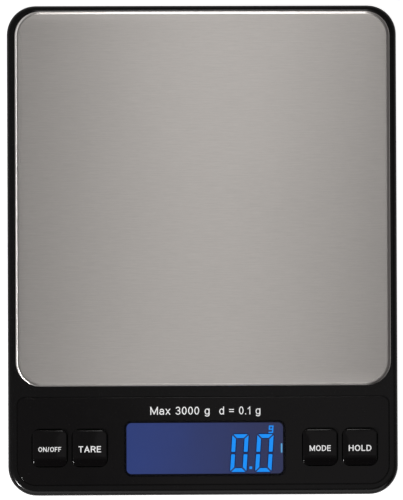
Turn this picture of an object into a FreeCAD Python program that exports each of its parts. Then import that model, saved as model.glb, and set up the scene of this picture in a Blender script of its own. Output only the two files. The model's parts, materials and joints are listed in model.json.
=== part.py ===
import FreeCAD, Part
import math
import os

# Digital gram scale, in millimetres: +Z up, the front with its display and keys
# towards -Y, the origin on the table under the middle of the case.

# ---- driving sizes -------------------------------------------------------

# Case
body_width = 127.0
body_depth = 159.5
body_radius = 9.4
case_wall = 2.0
floor_thickness = 2.0
deck_thickness = 2.2
lower_case_height = 6.8
top_edge_radius = 2.0
bottom_edge_radius = 1.6
seam_bevel = 0.25
tongue_height = 1.4
tongue_thickness = 0.95
tongue_clearance = 0.1

# Rubber feet
foot_diameter = 9.0
foot_height = 2.2
foot_recess = 1.0
foot_fit = 0.1
foot_edge_radius = 0.5
foot_from_side = 11.5
foot_from_end = 10.5

# Control panel, seated flush in the deck
fascia_thickness = 1.2
fascia_depth = 28.4
fascia_side_margin = 3.05
fascia_front_margin = 3.5
fascia_back_radius = 2.3
fascia_front_radius = 6.0
fascia_gap = 0.3
fascia_edge_radius = 0.15
controls_offset = 0.5
display_width = 51.0
display_depth = 16.6
display_radius = 1.6
display_from_front = 11.7
window_border = 0.8
window_fit = 0.05

# Keys, two on each side of the display
key_width = 11.3
key_depth = 12.0
key_radius = 2.4
key_edge_radius = 0.9
key_proud = 1.0
key_display_gap = 5.55
key_spacing = 1.7
key_from_front = 12.0
key_gap = 0.25
key_flange_gap = 0.05
key_flange_thickness = 0.8
key_flange_reach = 1.2
key_wall = 1.2
key_top_thickness = 1.4
key_post_diameter = 4.0
key_travel = 0.5
switch_side = 6.0
switch_height = 3.5
plunger_diameter = 3.4
plunger_proud = 0.65
plunger_depth = 0.6
plunger_fit = 0.1
plunger_room = 0.2
switch_bevel = 0.4

# Circuit board and what is on it
board_thickness = 1.2
board_side_gap = 3.0
board_front_gap = 1.0
board_depth = 27.0
board_radius = 5.0
board_post_diameter = 4.0
board_post_margin = 1.0
board_screw_diameter = 1.7
board_screw_head = 3.2
board_screw_head_height = 1.2
board_screw_bite = 3.4
chip_side = 9.0
chip_height = 1.2
chip_rounding = 0.96
chip_place = -12.0
amplifier_width = 8.6
amplifier_depth = 3.9
amplifier_height = 1.4
amplifier_bevel = 0.3
amplifier_place = 8.0
passive_size = (2.0, 1.2, 0.6)
passive_pitch = 4.0
passive_count = 8
passive_row = -8.0

# Display module
lcd_glass = 0.7
lcd_width = 54.6
lcd_rear_depth = 19.4
lcd_ledge = 2.6
lcd_deck_gap = 0.2
polariser_thickness = 0.2
polariser_margin = 0.5
guide_board_gap = 0.3
guide_margin = 0.6
led_size = (1.0, 3.0, 1.6)
led_room = 0.2
frame_wall = 1.2
frame_fit = 0.15
frame_radius = 1.0
strip_thickness = 1.8
strip_end_gap = 1.0

# Weighing platform
platform_side_margin = 2.6
platform_back_margin = 2.2
platform_front_strip = 3.7
platform_radius = 8.0
platform_edge_radius = 0.9
sheet_thickness = 0.6
tape_thickness = 0.2
tape_margin = 6.0
tape_width = 12.0
tape_strips = 4
support_thickness = 2.0
support_fit = 0.3
skirt_deck_gap = 1.4
stop_gap = 0.45
stop_height = 1.55
stop_diameter = 5.0
stop_from_edge = 14.0
boss_deck_gap = 1.0

# Load cell, a bar along X with its fixed end at -X
load_cell_length = 47.0
load_cell_width = 12.0
load_cell_height = 6.0
load_cell_deck_gap = 0.8
cell_hole_first = 3.5
cell_hole_pitch = 7.0
cell_screw_diameter = 3.0
cell_screw_fit = 0.05
cell_screw_bite = 5.0
cell_screw_head = 5.5
cell_screw_head_height = 1.6
cell_screw_head_fit = 0.2
cell_screw_head_sink = 0.1
gauge_bore = 4.2
gauge_bore_place = 4.8
gauge_slot = 1.6
coating_length = 16.0
coating_thickness = 0.6
coating_side_gap = 1.0
shim_thickness = 0.5
end_block_length = 14.0

# Case screws, up from underneath
case_screw_diameter = 2.6
case_screw_head = 4.6
case_screw_head_height = 1.5
case_screw_bite = 4.0
case_screw_fit = 0.15
case_screw_wall = 1.9
case_screw_from_side = 6.6
case_screw_panel_gap = 4.1
case_screw_from_back = 40.0
head_gap = 0.2

# Shares of a screw head's height and width, and of its shank
screw_crown = 0.35
screw_cross_depth = 0.45
screw_cross_reach = 0.6
screw_cross_width = 0.25

# Fit of a screw in the hole that it threads into, and the spare depth past its tip
thread_fit = 0.02
tip_room = 0.3

# How far a cut runs past the face that it opens, and how far a piece that is fused on
# reaches into what it stands on
past = 1.0
root = 0.5

# Batteries, two AAA cells side by side along X
cell_diameter = 10.3
cell_length = 44.5
cell_nub_diameter = 3.8
cell_nub_height = 1.0
cell_edge_radius = 0.4
cell_gap = 0.3
cell_door_gap = 0.1
cell_deck_gap = 0.2
bay_wall = 1.2
bay_deck_gap = 0.3
bay_from_back = 8.0
contact_space = 3.2
contact_thickness = 0.4
contact_wall_gap = 0.1
contact_leaf_width = 5.0
contact_height = 8.0
contact_side_gap = 0.5
door_thickness = 1.2
door_gap = 0.25
door_nose_radius = 0.3
door_tab_width = 8.0
door_tab_reach = 2.0
door_tab_thickness = 0.8
door_tab_place = 16.0
door_tab_slot_gap = 0.4
door_tab_swing = 4.2
door_latch_width = 9.0
door_floor_gap = 0.1
grip_groove_width = 0.8
grip_groove_depth = 0.4
grip_groove_length = 15.0
grip_groove_pitch = 1.8
grip_groove_count = 4
lead_notch = 2.0

# Wires
lead_arc_share = 0.45
lead_diameter = 0.8
battery_lead_diameter = 1.2
battery_lead_turn = 8.0
lead_landing = 4.0
lead_cell_gap = 0.05
lead_spread = 3.0
lead_bundle = 1.3

# ---- levels and places worked out from them --------------------------------

underside = foot_height - foot_recess
floor_top = underside + floor_thickness
parting = underside + lower_case_height
cell_axis = underside + door_thickness + cell_door_gap + cell_diameter / 2
deck_underside = cell_axis + cell_diameter / 2 + cell_deck_gap
deck_top = deck_underside + deck_thickness
fascia_seat = deck_top - fascia_thickness
key_top = deck_top + key_proud
flange_top = deck_underside - key_flange_gap
flange_bottom = flange_top - key_flange_thickness
board_top = flange_bottom - plunger_proud - switch_height
board_bottom = board_top - board_thickness
load_cell_top = deck_underside - load_cell_deck_gap
load_cell_bottom = load_cell_top - load_cell_height
support_bottom = deck_top + stop_height + stop_gap
support_top = support_bottom + support_thickness
platform_screw_seat = support_top - cell_screw_head_height - cell_screw_head_sink
sheet_bottom = support_top + tape_thickness
platform_top = sheet_bottom + sheet_thickness

front = -body_depth / 2
back = body_depth / 2
fascia_width = body_width - 2 * fascia_side_margin
fascia_front = front + fascia_front_margin
fascia_y = fascia_front + fascia_depth / 2
display_y = fascia_front + display_from_front
key_y = fascia_front + key_from_front
key_pitch = key_width + key_spacing
key_inner_place = display_width / 2 + window_border + key_display_gap + key_width / 2
key_places = {
    "power": controls_offset - key_inner_place - key_pitch,
    "tare": controls_offset - key_inner_place,
    "mode": controls_offset + key_inner_place,
    "hold": controls_offset + key_inner_place + key_pitch,
}

platform_width = body_width - 2 * platform_side_margin
platform_back = back - platform_back_margin
platform_front = fascia_front + fascia_depth + platform_front_strip
platform_depth = platform_back - platform_front
platform_y = (platform_front + platform_back) / 2

board_width = body_width - 2 * case_wall - 2 * board_side_gap
board_front = front + case_wall + board_front_gap
board_y = board_front + board_depth / 2
board_post_inset = board_post_margin + board_post_diameter / 2
board_post_x = key_inner_place + key_pitch / 2
board_post_y = board_depth / 2 - board_post_inset

lcd_rear_bottom = deck_underside - lcd_deck_gap - 2 * lcd_glass
guide_top = lcd_rear_bottom - polariser_thickness
guide_bottom = board_top + guide_board_gap
led_place = lcd_width / 2 - guide_margin - led_size[0] / 2
lcd_front_depth = lcd_rear_depth + lcd_ledge
lcd_front_y = display_y + lcd_ledge / 2

bay_length = cell_length + 2 * contact_space
bay_depth = 2 * cell_diameter + 3 * cell_gap
bay_y = back - case_wall - bay_from_back - bay_depth / 2
cell_offset = (cell_diameter + cell_gap) / 2
bay_front = bay_y - bay_depth / 2
bay_back = bay_y + bay_depth / 2
bay_top = deck_underside - bay_deck_gap

cell_hole_x = load_cell_length / 2 - cell_hole_first
fixed_holes = [-cell_hole_x, -cell_hole_x + cell_hole_pitch]
free_holes = [cell_hole_x, cell_hole_x - cell_hole_pitch]
end_block_x = load_cell_length / 2 - end_block_length / 2
case_screw_x = body_width / 2 - case_screw_from_side
case_screw_spots = [(x, y) for x in (-case_screw_x, case_screw_x)
                    for y in (fascia_front + fascia_depth + case_screw_panel_gap,
                              back - case_screw_from_back)]
foot_x = body_width / 2 - foot_from_side
foot_y = body_depth / 2 - foot_from_end
foot_spots = {
    "foot_front_left": (-foot_x, -foot_y),
    "foot_front_right": (foot_x, -foot_y),
    "foot_back_left": (-foot_x, foot_y),
    "foot_back_right": (foot_x, foot_y),
}
stop_x = platform_width / 2 - stop_from_edge
stop_y = platform_depth / 2 - stop_from_edge


# ---- shapes that repeat ------------------------------------------------------

def vector(x, y, z):
    return FreeCAD.Vector(x, y, z)


def rounded_slab(width, depth, low, high, front_radius, x=0.0, y=0.0, back_radius=None):
    """Upright slab with round corners, from level low to level high."""
    f = front_radius
    b = front_radius if back_radius is None else back_radius
    left = x - width / 2
    right = x + width / 2
    near = y - depth / 2
    far = y + depth / 2
    k = 1 - math.sqrt(0.5)
    runs = [
        ((left + f, near), (right - f, near)),
        ((right, near + f), (right, far - b)),
        ((right - b, far), (left + b, far)),
        ((left, far - b), (left, near + f)),
    ]
    corners = [
        (right - f * k, near + f * k),
        (right - b * k, far - b * k),
        (left + b * k, far - b * k),
        (left + f * k, near + f * k),
    ]
    edges = []
    for number, (start, end) in enumerate(runs):
        following = runs[(number + 1) % 4][0]
        middle = corners[number]
        edges.append(Part.makeLine(vector(*start, low), vector(*end, low)))
        arc = Part.Arc(vector(*end, low), vector(*middle, low), vector(*following, low))
        edges.append(arc.toShape())
    face = Part.Face(Part.Wire(edges))
    return face.extrude(vector(0, 0, high - low))


def block(width, depth, low, high, x=0.0, y=0.0):
    """Square-cornered block centred on x, y."""
    return Part.makeBox(width, depth, high - low, vector(x - width / 2, y - depth / 2, low))


def post(diameter, low, high, x=0.0, y=0.0):
    """Upright round post or hole."""
    return Part.makeCylinder(diameter / 2, high - low, vector(x, y, low))


def cross_bore(diameter, length, x, y, z):
    """Round bar or hole along Y, centred on y."""
    return Part.makeCylinder(diameter / 2, length, vector(x, y - length / 2, z), vector(0, 1, 0))


def level_edges(shape, level):
    """The edges of a shape that lie flat at one level."""
    found = []
    for edge in shape.Edges:
        box = edge.BoundBox
        if abs(box.ZMin - level) < 1e-6 and abs(box.ZMax - level) < 1e-6:
            found.append(edge)
    return found


def screw(diameter, head, head_height, seat, tip, x, y):
    """Pan-head screw with its head's seat at one level and its tip at another."""
    up = 1 if tip > seat else -1
    shank = post(diameter, min(seat, tip), max(seat, tip), x, y)
    outer = seat - up * head_height
    cap = post(head, min(seat, outer), max(seat, outer), x, y)
    cap = cap.makeFillet(head_height * screw_crown, level_edges(cap, outer))
    slot_deep = head_height * screw_cross_depth
    inner = outer + up * slot_deep
    low = min(outer, inner)
    high = max(outer, inner)
    cross = [
        block(head * screw_cross_reach, diameter * screw_cross_width, low, high, x, y),
        block(diameter * screw_cross_width, head * screw_cross_reach, low, high, x, y),
    ]
    return shank.fuse(cap).cut(cross).removeSplitter()


def lead(points, diameter):
    """Wire along straight runs joined by tangent arcs as large as the runs allow."""
    spots = [vector(*p) for p in points]
    edges = []
    start = spots[0]
    for here, there, beyond in zip(spots, spots[1:], spots[2:]):
        back_way = (here - there).normalize()
        on_way = (beyond - there).normalize()
        turn = math.pi - back_way.getAngle(on_way)
        reach = lead_arc_share * min(here.distanceToPoint(there), there.distanceToPoint(beyond))
        radius = reach / math.tan(turn / 2)
        enter = there + back_way * reach
        leave = there + on_way * reach
        inward = (back_way + on_way).normalize()
        middle = there + inward * (radius / math.cos(turn / 2) - radius)
        edges.append(Part.makeLine(start, enter))
        edges.append(Part.Arc(enter, middle, leave).toShape())
        start = leave
    edges.append(Part.makeLine(start, spots[-1]))
    path = Part.Wire(edges)
    ring = Part.Wire(Part.makeCircle(diameter / 2, spots[0], spots[1] - spots[0]))
    return path.makePipeShell([ring], True, False)


def mirrored_x(shape):
    return shape.mirror(vector(0, 0, 0), vector(1, 0, 0))


# ---- case ----------------------------------------------------------------------

def bottom_shell():
    outer = rounded_slab(body_width, body_depth, underside, parting, body_radius)
    outer = outer.makeFillet(bottom_edge_radius, level_edges(outer, underside))
    outer = outer.makeChamfer(seam_bevel, level_edges(outer, parting))
    lip_gap = case_wall - tongue_thickness
    tongue = rounded_slab(body_width - 2 * lip_gap, body_depth - 2 * lip_gap,
                          floor_top, parting + tongue_height, body_radius - lip_gap)
    inside = rounded_slab(body_width - 2 * case_wall, body_depth - 2 * case_wall,
                          floor_top, parting + tongue_height, body_radius - case_wall)
    shell = outer.fuse(tongue).cut(inside)
    adds = [bay_frame(), load_cell_block()]
    cuts = [block(bay_length, bay_depth, underside - past, bay_top + past, 0, bay_y)]
    boss = case_screw_diameter + 2 * case_screw_wall
    for x, y in case_screw_spots:
        adds.append(post(boss, floor_top - root, parting, x, y))
        cuts += screw_hole(case_screw_diameter, case_screw_head, case_screw_head_height,
                           case_screw_fit, parting, x, y)
    for x in fixed_holes:
        cuts += screw_hole(cell_screw_diameter, cell_screw_head, cell_screw_head_height,
                           case_screw_fit, load_cell_bottom, x, platform_y)
    for x, y in foot_spots.values():
        cuts.append(post(foot_diameter + 2 * foot_fit, underside - past, foot_height, x, y))
    for x in (-door_tab_place, door_tab_place):
        cuts.append(block(door_tab_width + 2 * door_tab_slot_gap, 4 * bay_wall, floor_top,
                          underside + door_tab_swing + door_tab_slot_gap,
                          x, bay_front - bay_wall))
    for y in (-cell_offset, cell_offset):
        cuts.append(block(4 * bay_wall, lead_notch, cell_axis, bay_top + past,
                          bay_length / 2 + bay_wall, bay_y + y))
    return shell.fuse(adds).cut(cuts).removeSplitter()


def screw_hole(diameter, head, head_height, fit, high, x, y):
    """Clearance hole with a counterbore that sinks the head in the underside."""
    seat = underside + head_height + head_gap
    return [
        post(head + 4 * fit, underside - past, seat, x, y),
        post(diameter + 2 * fit, underside, high + past, x, y),
    ]


def bay_frame():
    """Walls around the batteries, standing on the case floor."""
    return block(bay_length + 2 * bay_wall, bay_depth + 2 * bay_wall,
                 floor_top - root, bay_top, 0, bay_y)


def load_cell_block():
    """Raised seat that the fixed end of the load cell is screwed to."""
    return block(end_block_length, load_cell_width, floor_top - root,
                 load_cell_bottom - shim_thickness, -end_block_x, platform_y)


def top_shell():
    outer = rounded_slab(body_width, body_depth, parting, deck_top, body_radius)
    outer = outer.makeFillet(top_edge_radius, level_edges(outer, deck_top))
    outer = outer.makeChamfer(seam_bevel, level_edges(outer, parting))
    lip_gap = case_wall - tongue_thickness - tongue_clearance
    cuts = [
        rounded_slab(body_width - 2 * case_wall, body_depth - 2 * case_wall,
                     parting - past, deck_underside, body_radius - case_wall),
        rounded_slab(body_width - 2 * lip_gap, body_depth - 2 * lip_gap, parting - past,
                     parting + tongue_height + tongue_clearance, body_radius - lip_gap),
        fascia_recess(),
        rounded_slab(display_width, display_depth, deck_underside - past, deck_top + past,
                     display_radius, controls_offset, display_y),
        block(end_block_length + 2 * boss_deck_gap, load_cell_width + 2 * boss_deck_gap,
              deck_underside - past, deck_top + past, end_block_x, platform_y),
    ]
    for x in key_places.values():
        cuts.append(rounded_slab(key_width + 2 * key_gap, key_depth + 2 * key_gap,
                                 deck_underside - past, deck_top + past,
                                 key_radius + key_gap, x, key_y))
    shell = outer.cut(cuts)
    adds = []
    holes = []
    boss = case_screw_diameter + 2 * case_screw_wall
    for x, y in case_screw_spots:
        adds.append(post(boss, parting, deck_underside + root, x, y))
        holes.append(post(case_screw_diameter + 2 * thread_fit, parting - past,
                          parting + case_screw_bite + tip_room, x, y))
    for x, y in board_spots():
        adds.append(post(board_post_diameter, board_top, deck_underside + root, x, y))
        holes.append(post(board_screw_diameter + 2 * thread_fit, board_top - past,
                          board_top + board_screw_bite + tip_room, x, y))
    for x in (-stop_x, stop_x):
        for y in (-stop_y, stop_y):
            adds.append(post(stop_diameter, deck_top - root, deck_top + stop_height,
                             x, platform_y + y))
    return shell.fuse(adds).cut(holes).removeSplitter()


def fascia_recess():
    return rounded_slab(fascia_width + 2 * fascia_gap, fascia_depth + 2 * fascia_gap,
                        fascia_seat, deck_top + past, fascia_front_radius + fascia_gap,
                        0, fascia_y, fascia_back_radius + fascia_gap)


def foot(x, y):
    pad = post(foot_diameter, 0, foot_height, x, y)
    return pad.makeFillet(foot_edge_radius, level_edges(pad, 0))


def case_screws():
    seat = underside + case_screw_head_height + head_gap
    return Part.makeCompound([
        screw(case_screw_diameter, case_screw_head, case_screw_head_height, seat,
              parting + case_screw_bite, x, y) for x, y in case_screw_spots])


# ---- control panel ---------------------------------------------------------------

def fascia_panel():
    panel = rounded_slab(fascia_width, fascia_depth, fascia_seat, deck_top,
                         fascia_front_radius, 0, fascia_y, fascia_back_radius)
    panel = panel.makeFillet(fascia_edge_radius, level_edges(panel, deck_top))
    reach = 2 * (window_border + window_fit)
    cuts = [rounded_slab(display_width + reach, display_depth + reach, fascia_seat - past,
                         deck_top + past, display_radius + reach / 2,
                         controls_offset, display_y)]
    for x in key_places.values():
        cuts.append(rounded_slab(key_width + 2 * key_gap, key_depth + 2 * key_gap,
                                 fascia_seat - past, deck_top + past,
                                 key_radius + key_gap, x, key_y))
    return panel.cut(cuts)


def display_window():
    return rounded_slab(display_width + 2 * window_border, display_depth + 2 * window_border,
                        fascia_seat, deck_top, display_radius + window_border,
                        controls_offset, display_y)


def key(x):
    """Hollow key cap with two retaining flanges and a post over its switch."""
    cap = rounded_slab(key_width, key_depth, flange_bottom, key_top, key_radius, x, key_y)
    cap = cap.makeFillet(key_edge_radius, level_edges(cap, key_top))
    flange = block(key_width - 2 * key_radius, key_depth + 2 * key_flange_reach,
                   flange_bottom, flange_top, x, key_y)
    hollow = rounded_slab(key_width - 2 * key_wall, key_depth - 2 * key_wall,
                          flange_bottom - past, key_top - key_top_thickness,
                          key_radius - key_wall, x, key_y)
    stem = post(key_post_diameter, flange_bottom, key_top - key_top_thickness / 2, x, key_y)
    return cap.fuse(flange).cut(hollow).fuse(stem).removeSplitter()


def switch_body(x):
    high = board_top + switch_height
    body = block(switch_side, switch_side, board_top, high, x, key_y)
    body = body.makeChamfer(switch_bevel, level_edges(body, high))
    well = post(plunger_diameter + 2 * plunger_fit,
                high - plunger_depth - key_travel - plunger_room, high + past, x, key_y)
    return body.cut(well)


def switch_plunger(x):
    high = board_top + switch_height
    return post(plunger_diameter, high - plunger_depth, high + plunger_proud, x, key_y)


# ---- circuit board -----------------------------------------------------------------

def board_spots():
    return [(controls_offset + side * board_post_x, board_y + end * board_post_y)
            for side in (-1, 1) for end in (-1, 1)]


def circuit_board():
    board = rounded_slab(board_width, board_depth, board_bottom, board_top, board_radius,
                         0, board_y)
    holes = [post(board_screw_diameter + 2 * case_screw_fit, board_bottom - past,
                  board_top + past, x, y) for x, y in board_spots()]
    return board.cut(holes)


def board_screws():
    return Part.makeCompound([
        screw(board_screw_diameter, board_screw_head, board_screw_head_height,
              board_bottom, board_top + board_screw_bite, x, y)
        for x, y in board_spots()])


def controller_chip():
    """Rounded blob of black resin over the bare chip, under the board."""
    blob = post(chip_side, board_bottom - chip_height, board_bottom, chip_place, board_y)
    return blob.makeFillet(chip_rounding, level_edges(blob, board_bottom - chip_height))


def amplifier_chip():
    chip = block(amplifier_width, amplifier_depth, board_bottom - amplifier_height,
                 board_bottom, amplifier_place, board_y)
    return chip.makeChamfer(amplifier_bevel, level_edges(chip, board_bottom - amplifier_height))


def passive_parts():
    width, depth, height = passive_size
    first = -passive_pitch * (passive_count - 1) / 2
    return Part.makeCompound([
        block(width, depth, board_bottom - height, board_bottom,
              first + passive_pitch * number, board_y + passive_row)
        for number in range(passive_count)])


def lcd_front_glass():
    return block(lcd_width, lcd_front_depth, lcd_rear_bottom + lcd_glass,
                 lcd_rear_bottom + 2 * lcd_glass, controls_offset, lcd_front_y)


def lcd_rear_glass():
    return block(lcd_width, lcd_rear_depth, lcd_rear_bottom, lcd_rear_bottom + lcd_glass,
                 controls_offset, display_y)


def lcd_polariser():
    return block(lcd_width - 2 * polariser_margin, lcd_rear_depth - 2 * polariser_margin,
                 guide_top, lcd_rear_bottom,
                 controls_offset, display_y)


def backlight_guide():
    """Clear block that spreads the light, notched at both ends for the light diodes."""
    guide = block(lcd_width - 2 * guide_margin, lcd_rear_depth - 2 * guide_margin,
                  guide_bottom, guide_top, controls_offset, display_y)
    length, width, height = led_size
    notches = [block(length + led_room, width + led_room, guide_bottom - past,
                     guide_bottom + height + led_room, controls_offset + side * led_place,
                     display_y) for side in (-1, 1)]
    return guide.cut(notches)


def backlight_diodes():
    length, width, height = led_size
    return Part.makeCompound([
        block(length, width, board_top, board_top + height,
              controls_offset + side * led_place, display_y) for side in (-1, 1)])


def lcd_frame():
    """Open frame that holds the glass, the light guide and the contact strip."""
    high = deck_underside - lcd_deck_gap / 2
    inner_width = lcd_width + 2 * frame_fit
    inner_depth = lcd_front_depth + 2 * frame_fit
    outer = rounded_slab(inner_width + 2 * frame_wall, inner_depth + 2 * frame_wall,
                         board_top, high, frame_radius, controls_offset, lcd_front_y)
    inner = block(inner_width, inner_depth, board_top - past, high + past,
                  controls_offset, lcd_front_y)
    return outer.cut(inner)


def contact_strip():
    """Elastomer strip that joins the ledge of the front glass to the board."""
    ledge = display_y + lcd_rear_depth / 2 + lcd_ledge / 2
    return block(lcd_width - 2 * strip_end_gap, strip_thickness, board_top,
                 lcd_rear_bottom + lcd_glass, controls_offset, ledge)


# ---- platform and load cell -------------------------------------------------------

def platform_plate():
    """Pressed steel tray, turned down all round."""
    low = deck_top + skirt_deck_gap
    outer = rounded_slab(platform_width, platform_depth, low, platform_top,
                         platform_radius, 0, platform_y)
    outer = outer.makeFillet(platform_edge_radius, level_edges(outer, platform_top))
    inset = 2 * sheet_thickness
    inner = rounded_slab(platform_width - inset, platform_depth - inset, low - past,
                         sheet_bottom, platform_radius - sheet_thickness, 0, platform_y)
    inner = inner.makeFillet(platform_edge_radius - sheet_thickness,
                             level_edges(inner, sheet_bottom))
    return outer.cut(inner)


def platform_tape():
    """Double-sided tape in strips between the tray and its support."""
    length = platform_width - 2 * tape_margin - 4 * sheet_thickness
    spare = platform_depth - 2 * tape_margin - tape_width
    step = spare / (tape_strips - 1)
    return Part.makeCompound([
        block(length, tape_width, support_top, sheet_bottom, 0,
              platform_y - spare / 2 + step * number) for number in range(tape_strips)])


def platform_support():
    """Ribbed plastic plate under the tray, with a boss down to the load cell."""
    inset = 2 * (sheet_thickness + support_fit)
    plate = rounded_slab(platform_width - inset, platform_depth - inset, support_bottom,
                         support_top, platform_radius - inset / 2, 0, platform_y)
    plate = plate.makeChamfer(platform_edge_radius - sheet_thickness,
                              level_edges(plate, support_top))
    boss = block(end_block_length, load_cell_width, load_cell_top + shim_thickness,
                 support_bottom + root, end_block_x, platform_y)
    holes = []
    for x in free_holes:
        holes.append(post(cell_screw_diameter + 2 * case_screw_fit,
                          load_cell_top - past, support_top + past, x, platform_y))
        holes.append(post(cell_screw_head + 2 * cell_screw_head_fit, platform_screw_seat,
                          support_top + past, x, platform_y))
    return plate.fuse(boss).cut(holes).removeSplitter()


def load_cell():
    bar = block(load_cell_length, load_cell_width, load_cell_bottom, load_cell_top,
                0, platform_y)
    middle = (load_cell_bottom + load_cell_top) / 2
    cuts = [cross_bore(gauge_bore, load_cell_width + 2 * past, x, platform_y, middle)
            for x in (-gauge_bore_place, gauge_bore_place)]
    cuts.append(block(2 * gauge_bore_place, load_cell_width + 2 * past, middle - gauge_slot / 2,
                      middle + gauge_slot / 2, 0, platform_y))
    for x in fixed_holes + free_holes:
        cuts.append(post(cell_screw_diameter + 2 * cell_screw_fit, load_cell_bottom - past,
                         load_cell_top + past, x, platform_y))
    return bar.cut(cuts)


def gauge_coating():
    """Rubber coating over the strain gauges, above and below the bar."""
    width = load_cell_width - 2 * coating_side_gap
    return Part.makeCompound([
        block(coating_length, width, load_cell_top, load_cell_top + coating_thickness,
              0, platform_y),
        block(coating_length, width, load_cell_bottom - coating_thickness, load_cell_bottom,
              0, platform_y)])


def end_shim(side, low, holes):
    shim = block(end_block_length, load_cell_width, low, low + shim_thickness,
                 side * end_block_x, platform_y)
    return shim.cut([post(cell_screw_diameter + 2 * case_screw_fit, low - past,
                          low + shim_thickness + past, x, platform_y) for x in holes])


def load_cell_base_screws():
    seat = underside + cell_screw_head_height + head_gap
    return Part.makeCompound([
        screw(cell_screw_diameter, cell_screw_head, cell_screw_head_height, seat,
              load_cell_bottom + cell_screw_bite, x, platform_y) for x in fixed_holes])


def load_cell_platform_screws():
    return Part.makeCompound([
        screw(cell_screw_diameter, cell_screw_head, cell_screw_head_height, platform_screw_seat,
              load_cell_top - cell_screw_bite, x, platform_y) for x in free_holes])


# ---- batteries ------------------------------------------------------------------------

def battery_cell(side, y):
    """Cell along X, with its positive cap towards the given side."""
    can_length = cell_length - cell_nub_height
    can = Part.makeCylinder(cell_diameter / 2, can_length, vector(-cell_length / 2, y, cell_axis),
                            vector(1, 0, 0))
    rims = [e for e in can.Edges if e.BoundBox.XLength < 1e-6]
    can = can.makeFillet(cell_edge_radius, rims)
    nub = Part.makeCylinder(cell_nub_diameter / 2, cell_nub_height + root,
                            vector(cell_length / 2 - cell_nub_height - root, y, cell_axis),
                            vector(1, 0, 0))
    cell = can.fuse(nub).removeSplitter()
    return cell if side > 0 else mirrored_x(cell)


def contact_leaf(y):
    """Sprung leaf at the right-hand end, bearing on the middle of a cell's end."""
    reach = contact_space - contact_wall_gap - contact_thickness
    outline = [(0, 3.2), (-reach, 0.2), (-reach, -0.2), (-0.9, -2.8), (-0.6, -2.5),
               (-reach + 0.5, 0), (0, 2.5)]
    start = bay_length / 2 - contact_wall_gap - contact_thickness
    spots = [vector(start + x, y - contact_leaf_width / 2, cell_axis + z) for x, z in outline]
    face = Part.Face(Part.makePolygon(spots + spots[:1]))
    return face.extrude(vector(0, contact_leaf_width, 0))


def contact_plate(width, y):
    x = bay_length / 2 - contact_wall_gap - contact_thickness / 2
    return block(contact_thickness, width, cell_axis - contact_height / 2,
                 cell_axis + contact_height / 2, x, y)


def end_contact(y):
    plate = contact_plate(cell_diameter - 2 * contact_side_gap, y)
    return plate.fuse(contact_leaf(y)).removeSplitter()


def bridge_contact():
    plate = contact_plate(2 * (cell_offset - contact_side_gap) + cell_diameter, bay_y)
    leaves = [contact_leaf(bay_y + y) for y in (-cell_offset, cell_offset)]
    return mirrored_x(plate.fuse(leaves).removeSplitter())


def battery_door():
    """Cover flush with the underside: two tabs hook over the floor, a latch closes it.

    It tips about the rounding of its lower edge, on the side where the tabs are.
    """
    width = bay_length - 2 * door_gap
    depth = bay_depth - 2 * door_gap
    plate = block(width, depth, underside, underside + door_thickness, 0, bay_y)
    nose = [e for e in plate.Edges
            if abs(e.BoundBox.YMax - bay_front - door_gap) < 1e-6
            and abs(e.BoundBox.ZMax - underside) < 1e-6]
    plate = plate.makeFillet(door_nose_radius, nose)
    adds = []
    tab_low = floor_top + door_floor_gap
    tab_high = tab_low + door_tab_thickness
    edge = bay_front + door_gap
    clear_of_cell = cell_gap + door_gap
    for x in (-door_tab_place, door_tab_place):
        adds.append(block(door_tab_width, clear_of_cell, underside + door_nose_radius,
                          tab_high, x, edge + clear_of_cell / 2))
        reach = door_tab_reach + clear_of_cell + door_gap
        adds.append(block(door_tab_width, reach, tab_low, tab_high,
                          x, edge + clear_of_cell - reach / 2))
    latch = bay_back - door_gap - clear_of_cell / 2
    adds.append(block(door_latch_width, clear_of_cell, underside, tab_high, 0, latch))
    grooves = [block(grip_groove_length, grip_groove_width, underside - past,
                     underside + grip_groove_depth, 0, bay_back - grip_groove_pitch * number)
               for number in range(2, 2 + grip_groove_count)]
    return plate.fuse(adds).cut(grooves).removeSplitter()


# ---- wires --------------------------------------------------------------------------------

def gauge_lead(number):
    """One of the four fine wires from the strain gauges to the board."""
    wide = (number - 1.5) * lead_spread
    close = (number - 1.5) * lead_bundle
    start = platform_y - load_cell_width / 2 + 1
    high = load_cell_bottom - lead_diameter / 2 - lead_cell_gap
    low = floor_top + lead_diameter
    end = board_y + board_depth / 2 - lead_landing
    return lead([
        (wide, start, high),
        (wide, start - 9.0, high),
        ((wide + close) / 2, start - 20.0, low),
        (close, start - 32.0, low),
        (close, end + 7.0, low),
        (close, end, low + 0.6),
        (close, end, board_bottom),
    ], lead_diameter)


def battery_lead(y, lane):
    """Wire from an end contact, round the load cell and forward to the board."""
    start = bay_length / 2 - contact_wall_gap
    side = start + battery_lead_turn + lane
    high = cell_axis + 2.5
    low = floor_top + battery_lead_diameter
    end = board_y + board_depth / 2 - lead_landing
    return lead([
        (start, y, high),
        (side, y, high),
        (side, y - 12.0, low),
        (side + 1.5, platform_y, low),
        (side, end + 7.0, low),
        (side, end, low + 0.6),
        (side, end, board_bottom),
    ], battery_lead_diameter)


# ---- build -----------------------------------------------------------------------------------

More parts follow.
